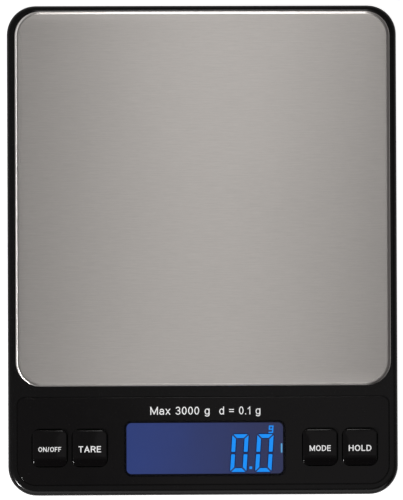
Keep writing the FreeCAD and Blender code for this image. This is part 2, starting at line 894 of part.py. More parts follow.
nodes = {
    "top_shell": top_shell(),
    "bottom_shell": bottom_shell(),
    "battery_door": battery_door(),
    "case_screws": case_screws(),
    "fascia_panel": fascia_panel(),
    "display_window": display_window(),
    "circuit_board": circuit_board(),
    "board_screws": board_screws(),
    "controller_chip": controller_chip(),
    "amplifier_chip": amplifier_chip(),
    "passive_parts": passive_parts(),
    "lcd_front_glass": lcd_front_glass(),
    "lcd_rear_glass": lcd_rear_glass(),
    "lcd_polariser": lcd_polariser(),
    "lcd_frame": lcd_frame(),
    "contact_strip": contact_strip(),
    "backlight_guide": backlight_guide(),
    "backlight_diodes": backlight_diodes(),
    "platform_plate": platform_plate(),
    "platform_tape": platform_tape(),
    "platform_support": platform_support(),
    "load_cell": load_cell(),
    "gauge_coating": gauge_coating(),
    "fixed_end_shim": end_shim(-1, load_cell_bottom - shim_thickness, fixed_holes),
    "free_end_shim": end_shim(1, load_cell_top, free_holes),
    "load_cell_base_screws": load_cell_base_screws(),
    "load_cell_platform_screws": load_cell_platform_screws(),
    "battery_cell_front": battery_cell(1, bay_y - cell_offset),
    "battery_cell_back": battery_cell(-1, bay_y + cell_offset),
    "battery_contact_positive": end_contact(bay_y - cell_offset),
    "battery_contact_negative": end_contact(bay_y + cell_offset),
    "battery_contact_bridge": bridge_contact(),
    "battery_lead_red": battery_lead(bay_y - cell_offset, 0.0),
    "battery_lead_black": battery_lead(bay_y + cell_offset, 3.0),
}
for place, x in key_places.items():
    nodes["key_" + place] = key(x)
    nodes["switch_body_" + place] = switch_body(x)
    nodes["switch_plunger_" + place] = switch_plunger(x)
for name, (x, y) in foot_spots.items():
    nodes[name] = foot(x, y)
for number, colour in enumerate(("red", "black", "green", "white")):
    nodes["gauge_lead_" + colour] = gauge_lead(number)

os.makedirs("parts", exist_ok=True)
for name, shape in nodes.items():
    if not shape.isValid() or not shape.Solids:
        raise ValueError(name + " is not a sound solid")
    shape.exportStep("parts/" + name + ".step")
    print(name, len(shape.Solids), round(shape.Volume, 1))
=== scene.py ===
import json
import math

import bpy
from bpy.props import FloatProperty, FloatVectorProperty, PointerProperty
from mathutils import Matrix, Vector


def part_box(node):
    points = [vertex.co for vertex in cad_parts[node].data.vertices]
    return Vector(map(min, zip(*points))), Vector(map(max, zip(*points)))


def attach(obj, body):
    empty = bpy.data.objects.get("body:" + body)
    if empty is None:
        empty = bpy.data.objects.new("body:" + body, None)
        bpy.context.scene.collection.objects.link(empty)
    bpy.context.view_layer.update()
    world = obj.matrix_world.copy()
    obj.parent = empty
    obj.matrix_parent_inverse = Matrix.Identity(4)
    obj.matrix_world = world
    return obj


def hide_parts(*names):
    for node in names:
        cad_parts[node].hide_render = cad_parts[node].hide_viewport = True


bl_info = {
    "name": "Digital gram scale",
    "version": (1, 0, 0),
    "blender": (4, 5, 0),
    "location": "3D View > Sidebar > Gram scale",
    "description": "Models and finishes a bench scale round its engineering frame",
    "category": "Object",
}

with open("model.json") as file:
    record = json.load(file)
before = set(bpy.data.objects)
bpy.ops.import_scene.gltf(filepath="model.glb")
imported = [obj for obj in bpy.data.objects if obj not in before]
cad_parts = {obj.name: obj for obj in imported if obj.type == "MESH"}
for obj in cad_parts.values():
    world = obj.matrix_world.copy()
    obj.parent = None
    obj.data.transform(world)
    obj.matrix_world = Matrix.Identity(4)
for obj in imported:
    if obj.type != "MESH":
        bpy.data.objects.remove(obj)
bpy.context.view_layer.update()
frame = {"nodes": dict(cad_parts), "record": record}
cad = frame["nodes"]

MM = 0.001
NEAR = 1e-6  # places closer than this count as one
MERGE = 1e-7  # corners closer than this are merged
ORIGIN = (0.0, 0.0, 0.0)

# The tray: how it is rounded, and where its polished rim starts below its top; the rim's colour
# is also brightened there as a painted highlight.
TRAY_CORNER_STEPS = 14
TRAY_EDGE_STEPS = 8
BRUSHED_SPREAD = 1.0
RIM_DROP = 0.012 * MM
RIM_FADE = 0.02 * MM
# How much the rim's colour is brightened: a painted highlight, not a different steel.
RIM_PAINTED_SHEEN = 1.6
RIM_ROUGHNESS = 0.3

# The keys: KEY_FLANGE is how far a key reaches past its cap, front and back.
KEYS = ("power", "tare", "mode", "hold")
KEY_FLANGE = 1.2 * MM
KEY_SLICES = 16
KEY_CORNER_STEPS = 8
KEY_EDGE_STEPS = 5
PILLOW_POWER = 3
SLOPE_POWER = 1.5

# The readout: the right digit from the window's edges, the rest from the digits.
FOIL = 0.02 * MM
READOUT_LIFT = 4 * FOIL
EDGING = 0.28 * MM
EDGING_DEPTH = 2.5 * FOIL
SEGMENT_ROUNDING = 0.16
DIGIT_FROM_RIGHT = 6.85 * MM
DIGIT_FROM_FRONT = 7.45 * MM
POINT_PLACE = (3.7 * MM, -4.8 * MM, 0)
POINT_HALF = (0.45 * MM, 0.45 * MM, FOIL)
POINT_CORNER = 0.2 * MM
UNIT_PLACE = (2.2 * MM, 7.72 * MM, 0)
UNIT_STROKE = 0.42 * MM
UNIT_WIDTH = 1.5 * MM
UNIT_STEP = 1.02 * MM
MARK_PLACE = (5.62 * MM, 1.6 * MM, 0)
MARK_HALF = (0.25 * MM, 1.5 * MM, FOIL)
MARK_CORNER = 0.15 * MM

# The feet: a rolled edge, and a shallow well inside a margin.
FEET = ("foot_front_left", "foot_front_right", "foot_back_left", "foot_back_right")
FOOT_SIDES = 64
FOOT_EDGE = 0.5 * MM
FOOT_MARGIN = 1.0 * MM
FOOT_INNER_RING = 0.6 * MM
WELL_REACH = 3.1 * MM
WELL_DEPTH = 0.25 * MM

# The stage: the places, sizes and colours of its lights.
WHITE = (1.0, 1.0, 1.0)
WARM = (1.0, 0.985, 0.97)
ROSY = (1.0, 0.96, 0.97)
BACK_PLACE = (0.055, 0.62, 1.15)
BACK_SIZE = (0.16, 0.40)
BACK_SHARE = 0.25
TRAY_SHARE = 0.75
TOP_PLACE = (0.45, -0.10, 1.2)
TOP_AIM = (0.45, -0.10, 0)
TOP_SIZE = (0.9, 0.4)
CORNER_PLACE = (-0.45, -0.45, 0.45)
CORNER_SIZE = (0.12, 0.12)
EDGE_TURNS = ((90, 0.75), (135, 0.9), (180, 1.0))
EDGE_RADIUS = 1.1
EDGE_HEIGHT = 0.65
EDGE_SIZE = (0.9, 0.9)
CASE_FRONT_PLACE = (0.0, -1.0, 0.6)
CASE_FRONT_SIZE = (1.6, 0.9)
EDGE_FRONT_PLACE = (-0.3, -1.1, 0.5)
EDGE_FRONT_SIZE = (1.2, 0.45)
EDGE_FRONT_SHARE = 0.75
FLOOR_SIZE = 6.0
SENSOR_WIDTH = 36.0
NEAREST_SEEN = 0.05

tray_low, tray_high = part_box("platform_plate")
panel_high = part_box("fascia_panel")[1]
window_low, window_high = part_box("display_window")
glass_low, glass_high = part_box("lcd_front_glass")
key_low, key_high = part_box("key_power")


# ---- modelling helpers -------------------------------------------------------

def clear_selection():
    """Leave edit mode with nothing selected."""
    if bpy.context.mode != "OBJECT":
        bpy.ops.object.mode_set(mode="OBJECT")
    bpy.ops.object.select_all(action="DESELECT")


def make_active(piece):
    clear_selection()
    piece.select_set(True)
    bpy.context.view_layer.objects.active = piece


def settle(piece):
    """Move the piece's place, turn and scale into its mesh."""
    make_active(piece)
    bpy.ops.object.transform_apply(location=True, rotation=True, scale=True)


def start_block(name, low, high):
    """A box from one corner to the opposite one."""
    clear_selection()
    bpy.ops.mesh.primitive_cube_add(size=1.0, location=(low + high) / 2, scale=high - low)
    piece = bpy.context.object
    piece.name = name
    settle(piece)
    return piece


def pick(piece, kind, wanted):
    """Enter edit mode with only the vertices, edges or faces that pass a test selected."""
    make_active(piece)
    bpy.ops.object.mode_set(mode="EDIT")
    bpy.ops.mesh.select_mode(type=kind)
    bpy.ops.mesh.select_all(action="DESELECT")
    bpy.ops.object.mode_set(mode="OBJECT")
    mesh = piece.data
    items = {"VERT": mesh.vertices, "EDGE": mesh.edges, "FACE": mesh.polygons}[kind]
    for item in items:
        if kind == "VERT":
            item.select = wanted(item.co)
        else:
            item.select = wanted([mesh.vertices[v].co for v in item.vertices])
    bpy.ops.object.mode_set(mode="EDIT")


def done():
    bpy.ops.object.mode_set(mode="OBJECT")


def upright(ends):
    """True for an edge that stands straight up."""
    first, second = ends
    return (first.xy - second.xy).length < NEAR and abs(first.z - second.z) > NEAR


def flat_at(level):
    """A test for edges or faces that lie at one height."""
    return lambda ends: all(abs(co.z - level) < NEAR for co in ends)


def round_edges(piece, wanted, radius, segments):
    pick(piece, "EDGE", wanted)
    bpy.ops.mesh.bevel(offset=radius, offset_type="OFFSET", segments=segments,
                       profile=0.5, affect="EDGES", clamp_overlap=True)
    done()


def apply_modifier(piece, kind, **settings):
    make_active(piece)
    modifier = piece.modifiers.new(kind.title(), kind)
    for name, value in settings.items():
        setattr(modifier, name, value)
    bpy.ops.object.modifier_apply(modifier=modifier.name)


def copy_of(piece, name, offset):
    """A copy with a mesh of its own, moved by an offset."""
    make_active(piece)
    bpy.ops.object.duplicate(linked=False)
    copy = bpy.context.object
    copy.name = name
    copy.data.transform(Matrix.Translation(offset))
    return copy


def run_grain(piece):
    """Make a brushed finish spread its highlights along Y, straight across the grain.

    The spread turns about the middle of the texture space, so the middle stands far off.
    """
    piece.data.use_auto_texspace = False
    piece.data.texspace_location = (-20.0, 0.0, 0.0)
    piece.data.texspace_size = (0.1, 0.1, 0.1)


def complete(piece, body, material, angle=35.0):
    """Smooth, finish and seat a piece on its body."""
    make_active(piece)
    bpy.ops.object.mode_set(mode="EDIT")
    bpy.ops.mesh.select_all(action="SELECT")
    bpy.ops.mesh.remove_doubles(threshold=MERGE)
    bpy.ops.mesh.normals_make_consistent(inside=False)
    done()
    bpy.ops.object.shade_smooth_by_angle(angle=math.radians(angle))
    piece.data.materials.clear()
    piece.data.materials.append(material)
    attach(piece, body)


# ---- shader maths ----------------------------------------------------------------

class Signal:
    """A value in a material's nodes, on which Python's operators work."""

    def __init__(self, finish, socket):
        self.finish = finish
        self.socket = socket

    def math(self, operation, first, second):
        return self.finish.node("ShaderNodeMath", {"operation": operation},
                                {0: first, 1: second})

    def __add__(self, other):
        return self.math("ADD", self, other)

    def __sub__(self, other):
        return self.math("SUBTRACT", self, other)

    def __rsub__(self, other):
        return self.math("SUBTRACT", other, self)

    def __mul__(self, other):
        return self.math("MULTIPLY", self, other)

    __radd__ = __add__
    __rmul__ = __mul__


class Finish:
    """A material being mixed, or the studio's air round the object."""

    def __init__(self, name, owner=None, reads="Object"):
        self.material = owner or bpy.data.materials.new(name)
        self.material.use_nodes = True
        self.tree = self.material.node_tree
        self.tree.nodes.clear()
        self.place = self.node("ShaderNodeTexCoord", {}, {}, reads)

    def node(self, kind, settings, sockets, output=0):
        """Add a node: its settings first, then the values or links of its sockets.

        It gives back the output asked for, or nothing for a node that ends the tree.
        """
        made = self.tree.nodes.new(kind)
        for name, value in settings.items():
            setattr(made, name, value)
        for name, value in sockets.items():
            if isinstance(value, Signal):
                self.tree.links.new(value.socket, made.inputs[name])
            else:
                made.inputs[name].default_value = value
        return Signal(self, made.outputs[output]) if made.outputs else None

    def along(self, scale, turn=0.0):
        """The object's own coordinates, stretched and turned about Z."""
        return self.node("ShaderNodeMapping", {}, {
            "Vector": self.place, "Scale": scale, "Rotation": (0, 0, turn)})

    def noise(self, scale, detail=3.0, roughness=0.5, vector=None):
        return self.node("ShaderNodeTexNoise", {}, {
            "Vector": vector or self.place, "Scale": scale, "Detail": detail,
            "Roughness": roughness})

    def ramp(self, value, low, high, to_low=0.0, to_high=1.0):
        """Smooth step of a value from one range to another."""
        return self.node("ShaderNodeMapRange", {"interpolation_type": "SMOOTHSTEP"}, {
            "Value": value, "From Min": low, "From Max": high, "To Min": to_low,
            "To Max": to_high})

    def blend(self, mask, first, second):
        """Mix of two colours."""
        return self.node("ShaderNodeMix", {"data_type": "RGBA"},
                         {0: mask, 6: rgba(first), 7: rgba(second)}, 2)

    def bump(self, height, strength, distance):
        return self.node("ShaderNodeBump", {}, {
            "Height": height, "Strength": strength, "Distance": distance})

    def part(self, name):
        """One of the object coordinates: X, Y or Z."""
        return self.node("ShaderNodeSeparateXYZ", {}, {"Vector": self.place}, name)

    def surface(self, sockets):
        """Close the material with its surface shader."""
        shader = self.node("ShaderNodeBsdfPrincipled", {}, sockets)
        self.node("ShaderNodeOutputMaterial", {}, {"Surface": shader})
        return self.material


def rgba(colour):
    """A colour with its alpha, or the link that it already is."""
    if isinstance(colour, Signal) or len(colour) == 4:
        return colour
    return (*colour, 1.0)


def tinted(colour, share):
    """A colour made lighter or darker by a share."""
    return tuple(min(1.0, part * share) for part in colour[:3])


# ---- finishes ------------------------------------------------------------------------

def gloss_plastic(name, colour, roughness):
    """Polished moulding: faint flow marks, a soft orange peel and a little dust."""
    finish = Finish(name)
    flow = finish.noise(60.0, 4.0)
    peel = finish.noise(900.0, 2.0)
    dust = finish.ramp(finish.noise(2600.0, 1.0), 0.70, 0.78)
    rub = finish.ramp(finish.noise(140.0, 6.0, 0.65), 0.35, 0.75)
    return finish.surface({
        "Base Color": finish.blend(flow * 0.5 + dust * 0.6, tinted(colour, 0.9),
                                   tinted(colour, 1.6)),
        "Roughness": roughness + rub * 0.05 + dust * 0.25,
        "IOR": 1.5,
        "Normal": finish.bump(peel + flow * 2.0, 0.05, 0.0001),
    })


def matt_plastic(name, colour, roughness):
    """Spark-eroded moulding with a fine even grain."""
    finish = Finish(name)
    grain = finish.noise(3200.0, 3.0, 0.6)
    cloud = finish.noise(90.0, 3.0)
    return finish.surface({
        "Base Color": finish.blend(cloud, tinted(colour, 0.85), tinted(colour, 1.2)),
        "Roughness": roughness + (grain - 0.5) * 0.2,
        "Normal": finish.bump(grain, 0.35, 0.00006),
    })


def rubber(name, colour):
    finish = Finish(name)
    grain = finish.noise(4200.0, 4.0, 0.7)
    worn = finish.ramp(finish.noise(260.0, 5.0), 0.45, 0.7)
    return finish.surface({
        "Base Color": finish.blend(worn, tinted(colour, 0.8), tinted(colour, 1.6)),
        "Roughness": 0.72 + (grain - 0.5) * 0.2,
        "Normal": finish.bump(grain, 0.4, 0.00008),
    })


def brushed_metal(name, colour, roughness, length, pitch, depth, rim_below=None):
    """Metal brushed along X: long fine lines in its tone, its gloss and its relief.

    Below the given level it is a smoother rim, as the press leaves it, and its colour is
    brightened there as a painted highlight on the rolled edge.
    """
    finish = Finish(name)
    lines = finish.noise(1.0, 3.0, 0.6, finish.along((length, pitch, pitch)))
    hairs = finish.noise(1.0, 2.0, 0.5, finish.along((length * 4, pitch * 3.2, pitch * 3.2)))
    cloud = finish.noise(22.0, 3.0)
    tone = lines * 0.55 + hairs * 0.3 + cloud * 0.15
    base = finish.blend(finish.ramp(tone, 0.3, 0.7), tinted(colour, 0.93), tinted(colour, 1.06))
    gloss = roughness + (lines - 0.5) * 0.10
    if rim_below:
        rim = finish.ramp(finish.part("Z"), rim_below - RIM_FADE, rim_below, 1.0, 0.0)
        # Painted highlight: the rim's colour is made brighter than the steel, standing in for
        # the light that its rolled edge catches.
        base = finish.blend(rim, base, tinted(colour, RIM_PAINTED_SHEEN))
        gloss = gloss - rim * (roughness - RIM_ROUGHNESS)
    return finish.surface({
        "Base Color": base,
        "Metallic": 1.0,
        "Roughness": gloss,
        "Anisotropic": BRUSHED_SPREAD,
        "Normal": finish.bump(lines + hairs * 0.5, depth, 0.00004),
    })


def plated_metal(name, colour, roughness):
    """Plated steel or machined alloy, with fine scratches that run all ways."""
    finish = Finish(name)
    scratches = finish.noise(1.0, 3.0, 0.6, finish.along((900, 6000, 900), 0.7))
    stain = finish.noise(500.0, 4.0, 0.6)
    return finish.surface({
        "Base Color": finish.blend(stain, tinted(colour, 0.8), tinted(colour, 1.1)),
        "Metallic": 1.0,
        "Roughness": roughness + (scratches - 0.5) * 0.2,
        "Normal": finish.bump(scratches, 0.2, 0.00002),
    })


def circuit_resist(name, colour):
    """Green resist over copper: faint tracks show through it."""
    finish = Finish(name)
    weave = finish.noise(1800.0, 2.0)
    cells = finish.node("ShaderNodeTexVoronoi", {"distance": "MANHATTAN",
                                                 "feature": "DISTANCE_TO_EDGE"},
                        {"Vector": finish.place, "Scale": 330.0}, "Distance")
    tracks = finish.ramp(cells, 0.05, 0.09, 1.0, 0.0)
    return finish.surface({
        "Base Color": finish.blend(tracks, colour, tinted(colour, 1.9)),
        "Roughness": 0.32 + weave * 0.1,
        "Normal": finish.bump(tracks + weave * 0.2, 0.3, 0.00005),
    })


def clear_window(name):
    """Clear acrylic, faintly smoked, with hairline rubs."""
    finish = Finish(name)
    rubs = finish.noise(1.0, 3.0, 0.6, finish.along((400, 3000, 400), 0.5))
    return finish.surface({
        "Base Color": (0.010, 0.011, 0.022, 1.0),
        "Roughness": 0.05 + finish.ramp(rubs, 0.6, 0.8) * 0.12,
        "Alpha": 0.30 + finish.ramp(rubs, 0.62, 0.8) * 0.03,
        "IOR": 1.49,
    })


def lit_ground(name, left, right):
    """Display ground lit from both ends: bluer on the left, greyer on the right."""
    finish = Finish(name)
    across = finish.ramp(finish.part("X"), glass_low.x, glass_high.x)
    cloud = finish.noise(110.0, 2.0)
    mesh = finish.noise(5200.0, 1.0)
    colour = finish.blend(across + (cloud - 0.5) * 0.2, left, right)
    return finish.surface({
        "Base Color": (0.010, 0.012, 0.030, 1.0),
        "Roughness": 0.25 + mesh * 0.1,
        "Emission Color": finish.blend(mesh * 0.25, colour, (0.0, 0.0, 0.0)),
        "Emission Strength": 1.0,
    })


def lit_segment(name, colour, strength):
    """Lit part of the readout, a little deeper in tone along its length."""
    finish = Finish(name)
    spread = finish.noise(420.0, 3.0)
    return finish.surface({
        "Base Color": (0.0, 0.02, 0.06, 1.0),
        "Roughness": 0.4,
        "Emission Color": finish.blend(spread, tinted(colour, 0.88), tinted(colour, 1.0)),
        "Emission Strength": strength,
    })


def printed_ink_painted_glow(name, colour):
    """Screen-printed ink, slightly thin in places, that also glows faintly in its own colour as
    painted light.
    """
    finish = Finish(name)
    thin = finish.ramp(finish.noise(2400.0, 3.0), 0.3, 0.6)
    return finish.surface({
        "Base Color": finish.blend(thin, tinted(colour, 0.82), colour),
        "Roughness": 0.45 + thin * 0.1,
        # Painted light: the ink's colour is also given off as a glow, though print gives no
        # light.
        "Emission Color": finish.blend(thin, tinted(colour, 0.82), colour),
        "Emission Strength": 0.62,
        "Normal": finish.bump(thin, 0.1, 0.00002),
    })


def clear_glass(name, colour, alpha):
    finish = Finish(name)
    haze = finish.noise(700.0, 3.0)
    return finish.surface({
        "Base Color": rgba(colour),
        "Roughness": 0.05 + haze * 0.08,
        "Alpha": alpha + haze * 0.05,
    })


def wrapped_battery(name, colour):
    """Printed battery jacket: a dark sleeve with a copper-toned band at one end."""
    finish = Finish(name)
    print_grain = finish.noise(2000.0, 2.0)
    band = finish.ramp(finish.part("X"), 11.0 * MM, 11.4 * MM)
    return finish.surface({
        "Base Color": finish.blend(band, colour, (0.42, 0.20, 0.07)),
        "Metallic": 0.6,
        "Roughness": 0.28 + print_grain * 0.1,
        "Normal": finish.bump(print_grain, 0.1, 0.00003),
    })


def all_finishes(colours):
    """One finish for each slot of the frame's record, by the slot's name."""
    case = tuple(colours.case)
    return {
        "case_black": gloss_plastic("case_black", case, 0.16),
        "panel_black": gloss_plastic("panel_black", tuple(colours.panel), 0.09),
        "key_black": gloss_plastic("key_black", tuple(colours.panel), 0.07),
        "window_clear": clear_window("window_clear"),
        "tray_steel": brushed_metal("tray_steel", tuple(colours.steel), 0.50,
                                    150.0, 2800.0, 0.5, tray_high.z - RIM_DROP),
        "tape_white": matt_plastic("tape_white", (0.80, 0.80, 0.76), 0.85),
        "support_black": matt_plastic("support_black", (0.020, 0.020, 0.021), 0.55),
        "foot_rubber": rubber("foot_rubber", (0.030, 0.030, 0.031)),
        "board_green": circuit_resist("board_green", (0.010, 0.110, 0.040)),
        "chip_black": matt_plastic("chip_black", (0.015, 0.015, 0.016), 0.4),
        "display_glass": clear_glass("display_glass", (0.20, 0.22, 0.40), 0.5),
        "film_blue": matt_plastic("film_blue", (0.03, 0.04, 0.16), 0.3),
        "light_guide": clear_glass("light_guide", (0.80, 0.86, 0.95), 0.75),
        "diode_white": matt_plastic("diode_white", (0.90, 0.86, 0.60), 0.35),
        "frame_white": matt_plastic("frame_white", (0.75, 0.75, 0.73), 0.5),
        "strip_rubber": rubber("strip_rubber", (0.45, 0.16, 0.20)),
        "screw_steel": plated_metal("screw_steel", (0.52, 0.52, 0.54), 0.3),
        "cell_aluminium": brushed_metal("cell_aluminium", (0.70, 0.71, 0.72), 0.38, 40.0,
                                        1600.0, 0.4),
        "coating_white": rubber("coating_white", (0.80, 0.80, 0.77)),
        "shim_steel": plated_metal("shim_steel", (0.45, 0.45, 0.46), 0.35),
        "battery_jacket": wrapped_battery("battery_jacket", (0.012, 0.014, 0.020)),
        "contact_nickel": plated_metal("contact_nickel", (0.72, 0.70, 0.64), 0.22),
        "switch_black": matt_plastic("switch_black", (0.02, 0.02, 0.02), 0.5),
        "plunger_brown": matt_plastic("plunger_brown", (0.20, 0.08, 0.04), 0.45),
        "wire_red": rubber("wire_red", (0.50, 0.02, 0.02)),
        "wire_black": rubber("wire_black", (0.015, 0.015, 0.015)),
        "wire_green": rubber("wire_green", (0.02, 0.30, 0.06)),
        "wire_white": rubber("wire_white", (0.75, 0.75, 0.74)),
    }


FINISHES = {}


def finish_named(slot):
    """The finish of a slot, mixed the first time that one is asked for."""
    if not FINISHES:
        FINISHES.update(all_finishes(bpy.context.scene.scale_colours))
    return FINISHES[slot]


# ---- settings ----------------------------------------------------------------------------

class ScaleShape(bpy.types.PropertyGroup):
    """Sizes of the modelled pieces."""

    tray_corner: FloatProperty(
        name="Tray corner", description="Corner radius of the weighing tray",
        default=8.0 * MM, unit="LENGTH")
    tray_edge: FloatProperty(
        name="Tray edge", description="Width of the tray's rolled edge, seen from above",
        default=1.15 * MM, unit="LENGTH")
    tray_edge_drop: FloatProperty(
        name="Tray edge drop", description="Height of the rolled edge as a share of its width",
        default=0.44)
    tray_sheet: FloatProperty(
        name="Tray sheet", description="Thickness of the tray's steel",
        default=0.6 * MM, unit="LENGTH")
    key_corner: FloatProperty(
        name="Key corner", description="Corner radius of a key cap",
        default=1.8 * MM, unit="LENGTH")
    key_edge: FloatProperty(
        name="Key edge", description="Radius round the top of a key cap",
        default=0.5 * MM, unit="LENGTH")
    key_crown: FloatProperty(
        name="Key crown", description="Height of the pillow on a key's top",
        default=0.22 * MM, unit="LENGTH")
    key_slope: FloatProperty(
        name="Key slope", description="Drop of a key's top at its front",
        default=0.72 * MM, unit="LENGTH")
    key_slope_depth: FloatProperty(
        name="Key slope depth", description="Distance over which a key's front drops",
        default=3.4 * MM, unit="LENGTH")
    digit_height: FloatProperty(
        name="Digit height", description="Height of a digit of the readout",
        default=12.3 * MM, unit="LENGTH")
    digit_width: FloatProperty(
        name="Digit width", description="Width of a digit of the readout",
        default=5.3 * MM, unit="LENGTH")
    digit_pitch: FloatProperty(
        name="Digit pitch", description="Distance from one digit to the next",
        default=8.15 * MM, unit="LENGTH")
    digit_stroke: FloatProperty(
        name="Digit stroke", description="Width of one segment of a digit",
        default=1.25 * MM, unit="LENGTH")
    digit_gap: FloatProperty(
        name="Digit gap", description="Space at the slanting joints between segments",
        default=0.32 * MM, unit="LENGTH")
    digit_waist: FloatProperty(
        name="Digit waist", description="Space between a digit's upper and lower halves",
        default=0.8 * MM, unit="LENGTH")
    digit_slant: FloatProperty(
        name="Digit slant", description="Lean of the digits to the right",
        default=math.radians(3.7), subtype="ANGLE")


class ScaleColours(bpy.types.PropertyGroup):
    """Colours that a user would change."""

    case: FloatVectorProperty(
        name="Case", description="Colour of the case", subtype="COLOR",
        default=(0.0070, 0.0066, 0.0068), min=0.0, max=1.0)
    panel: FloatVectorProperty(
        name="Panel", description="Colour of the control panel and keys", subtype="COLOR",
        default=(0.0075, 0.0066, 0.0070), min=0.0, max=1.0)
    steel: FloatVectorProperty(
        name="Steel", description="Tone of the weighing tray", subtype="COLOR",
        default=(0.60, 0.575, 0.555), min=0.0, max=1.0)
    glow: FloatVectorProperty(
        name="Readout", description="Colour of the lit digits", subtype="COLOR",
        default=(0.010, 0.295, 1.0), min=0.0, max=1.0)
    ground_left: FloatVectorProperty(
        name="Ground, left", description="Display ground at its left end", subtype="COLOR",
        default=(0.064, 0.110, 0.420), min=0.0, max=1.0)
    ground_right: FloatVectorProperty(
        name="Ground, right", description="Display ground at its right end", subtype="COLOR",
        default=(0.068, 0.080, 0.205), min=0.0, max=1.0)
    legend: FloatVectorProperty(
        name="Legends", description="Colour of the printed legends", subtype="COLOR",
        default=(0.86, 0.86, 0.86), min=0.0, max=1.0)


class ScaleStage(bpy.types.PropertyGroup):
    """Camera and light."""

    camera_place: FloatVectorProperty(
        name="Camera", description="Place of the camera", subtype="TRANSLATION",
        default=(-0.050, -0.023, 1.6), unit="LENGTH")
    camera_aim: FloatVectorProperty(
        name="Aim", description="Point that the camera looks at", subtype="TRANSLATION",
        default=(-0.0002, 0.0001, 0.010), unit="LENGTH")
    camera_roll: FloatProperty(
        name="Roll", description="Turn of the camera about its own axis",
        default=math.radians(-0.24), subtype="ANGLE")
    lens: FloatProperty(
        name="Lens", description="Focal length in millimetres", default=350.6)
    key_light: FloatProperty(
        name="Key light", description="Power of the soft box at the back", default=3.2)
    edge_light: FloatProperty(
        name="Edge light", description="Power of the boxes that only light the tray's edges",
        default=1.15)
    top_light: FloatProperty(
        name="Top light", description="Power of the wide soft box overhead", default=0.12)
    corner_light: FloatProperty(
        name="Corner light", description="Power of the small lamp at the front left",
        default=2.4)
    rim_light: FloatProperty(
        name="Rim light", description="Power of the box that lights the case's front rim",
        default=3.0)
    sky: FloatProperty(
        name="Sky", description="Strength of the even light from above", default=0.085)
    ground: FloatProperty(
        name="Ground", description="Strength of the light that comes up from below",
        default=0.35)


# ---- pieces ---------------------------------------------------------------------------------

class SCALE_OT_finishes(bpy.types.Operator):
    """Give every part of the frame the finish of its slot"""

    bl_idname = "scale.finishes"
    bl_label = "Finish the frame's parts"

    def execute(self, context):
        for row in frame["record"]["subparts"]:
            part = cad[row["node"]]
            part.data.materials.clear()
            part.data.materials.append(finish_named(row["material_slot"]))
        colours = context.scene.scale_colours
        cad["lcd_front_glass"].data.materials[0] = lit_ground(
            "display_ground", tuple(colours.ground_left), tuple(colours.ground_right))
        return {"FINISHED"}


class SCALE_OT_tray(bpy.types.Operator):
    """Press the weighing tray from one sheet, turned down all round"""

    bl_idname = "scale.tray"
    bl_label = "Weighing tray"

    def execute(self, context):
        shape = context.scene.scale_shape
        tray = start_block("weighing_tray", tray_low, tray_high)
        round_edges(tray, upright, shape.tray_corner, TRAY_CORNER_STEPS)
        round_edges(tray, flat_at(tray_high.z), shape.tray_edge, TRAY_EDGE_STEPS)
        for vertex in tray.data.vertices:
            if vertex.co.z > tray_low.z + NEAR:
                vertex.co.z = tray_high.z - (tray_high.z - vertex.co.z) * shape.tray_edge_drop
        pick(tray, "FACE", flat_at(tray_low.z))
        bpy.ops.mesh.delete(type="FACE")
        done()
        apply_modifier(tray, "SOLIDIFY", thickness=shape.tray_sheet, offset=-1.0,
                       use_even_offset=True)
        complete(tray, "platform", finish_named("tray_steel"))
        run_grain(tray)
        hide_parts("platform_plate")
        return {"FINISHED"}


def key_cap(name, low, high, shape):
    """Key cap with a pillowed top that falls away further towards the front."""
    shoulder = high - Vector((0, 0, shape.key_crown))
    cap = start_block(name, low, shoulder)
    round_edges(cap, upright, shape.key_corner, KEY_CORNER_STEPS)
    round_edges(cap, flat_at(shoulder.z), shape.key_edge, KEY_EDGE_STEPS)
    slice_up(cap, low, high, KEY_SLICES)
    middle = (low + high) / 2
    half = (high - low) / 2
    for vertex in cap.data.vertices:
        if vertex.co.z > low.z + NEAR:
            across = abs(vertex.co.x - middle.x) / half.x
            along = abs(vertex.co.y - middle.y) / half.y
            front = max(0.0, 1.0 - (vertex.co.y - low.y) / shape.key_slope_depth)
            pillow = (1 - across ** PILLOW_POWER) * (1 - along ** PILLOW_POWER)
            vertex.co.z += shape.key_crown * pillow
            vertex.co.z -= shape.key_slope * front ** SLOPE_POWER
    return cap


def slice_up(piece, low, high, count):
    """Cut a piece into a grid seen from above, so that its faces can be curved."""
    make_active(piece)
    bpy.ops.object.mode_set(mode="EDIT")
    for axis in (0, 1):
        normal = [0, 0, 0]
        normal[axis] = 1
        for number in range(1, count):
            bpy.ops.mesh.select_all(action="SELECT")
            spot = low.lerp(high, number / count)
            bpy.ops.mesh.bisect(plane_co=spot, plane_no=normal)
    done()


class SCALE_OT_keys(bpy.types.Operator):
    """Model one key cap and copy it to the four keys"""

    bl_idname = "scale.keys"
    bl_label = "Key caps"

    def execute(self, context):
        shape = context.scene.scale_shape
        flange = Vector((0, KEY_FLANGE, 0))
        first = key_cap("key_cap_power", key_low + flange, key_high - flange, shape)
        for name in KEYS[1:]:
            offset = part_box("key_" + name)[0] - key_low
            copy = copy_of(first, "key_cap_" + name, offset)
            complete(copy, name + "_key", finish_named("key_black"))
            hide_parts("key_" + name)
        complete(first, "power_key", finish_named("key_black"))
        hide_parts("key_power")
        return {"FINISHED"}


def segment(name, centre, length, stroke, upright_bar, inner, ends=(-1, 1)):
    """One bar of a digit: a flat block, mitred at its ends on the side that faces inwards."""
    half = Vector((stroke / 2, length / 2, FOIL)) if upright_bar else Vector(
        (length / 2, stroke / 2, FOIL))
    bar = start_block(name, centre - half, centre + half)
    along = 1 if upright_bar else 0
    across = 1 - along
    for end in ends:
        pick(bar, "VERT", lambda co: (co[across] - centre[across]) * inner > 0
             and (co[along] - centre[along]) * end > 0)
        move = [0.0, 0.0, 0.0]
        move[along] = -end * stroke
        bpy.ops.transform.translate(value=move)
        done()
    round_edges(bar, upright, stroke * SEGMENT_ROUNDING, 2)
    return bar


